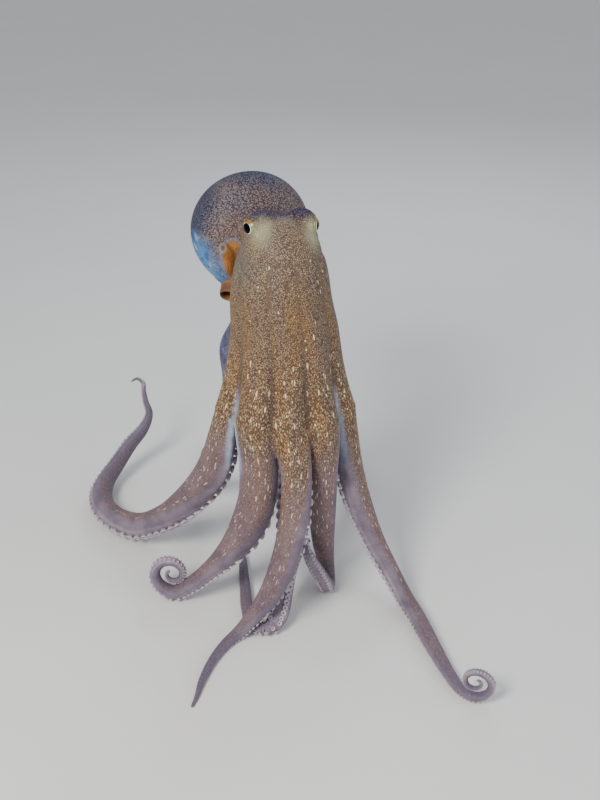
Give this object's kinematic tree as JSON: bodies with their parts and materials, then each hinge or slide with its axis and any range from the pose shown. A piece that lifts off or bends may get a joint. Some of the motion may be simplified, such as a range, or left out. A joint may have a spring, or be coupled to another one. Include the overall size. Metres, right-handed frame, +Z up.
{
  "type": "common octopus model",
  "caption": "Life-size still model of a common octopus standing on its arms, head and sac-like mantle raised, arm tips curled.",
  "frame": {"origin": "middle of the model's box, at floor level", "axes": "+Z up; the animal faces -Y and its right side is at -X"},
  "size_m": [0.353, 0.406, 0.3362],
  "materials": {
    "arm_skin": "matt skin, ochre brown with pale flecks, fading to grey mauve",
    "head_skin": "matt skin, ochre with pale patches by the eyes",
    "mantle_skin": "matt skin, grey brown with a fine dark net and a blue rim",
    "siphon_skin": "smooth skin, orange ochre",
    "mouth_skin": "smooth pale lips round a dark beak",
    "eye_ball": "wet gloss, pale yellow iris with a black upright pupil"
  },
  "bodies": {
    "root": {"arm_l1_base": "arm_skin", "arm_l1_lower": "arm_skin", "arm_l1_tip": "arm_skin", "arm_l1_upper": "arm_skin", "arm_l2_base": "arm_skin", "arm_l2_lower": "arm_skin", "arm_l2_tip": "arm_skin", "arm_l2_upper": "arm_skin", "arm_l3_base": "arm_skin", "arm_l3_lower": "arm_skin", "arm_l3_tip": "arm_skin", "arm_l3_upper": "arm_skin", "arm_l4_base": "arm_skin", "arm_l4_lower": "arm_skin", "arm_l4_outer": "arm_skin", "arm_l4_tip": "arm_skin", "arm_l4_upper": "arm_skin", "arm_r1_base": "arm_skin", "arm_r1_lower": "arm_skin", "arm_r1_tip": "arm_skin", "arm_r1_upper": "arm_skin", "arm_r2_base": "arm_skin", "arm_r2_lower": "arm_skin", "arm_r2_tip": "arm_skin", "arm_r2_upper": "arm_skin", "arm_r3_base": "arm_skin", "arm_r3_lower": "arm_skin", "arm_r3_outer": "arm_skin", "arm_r3_tip": "arm_skin", "arm_r3_upper": "arm_skin", "arm_r4_base": "arm_skin", "arm_r4_lower": "arm_skin", "arm_r4_tip": "arm_skin", "arm_r4_upper": "arm_skin", "eye_left": "eye_ball", "eye_right": "eye_ball", "head": "head_skin", "mantle": "mantle_skin", "mouth": "mouth_skin", "siphon": "siphon_skin"}
  },
  "joints": []
}
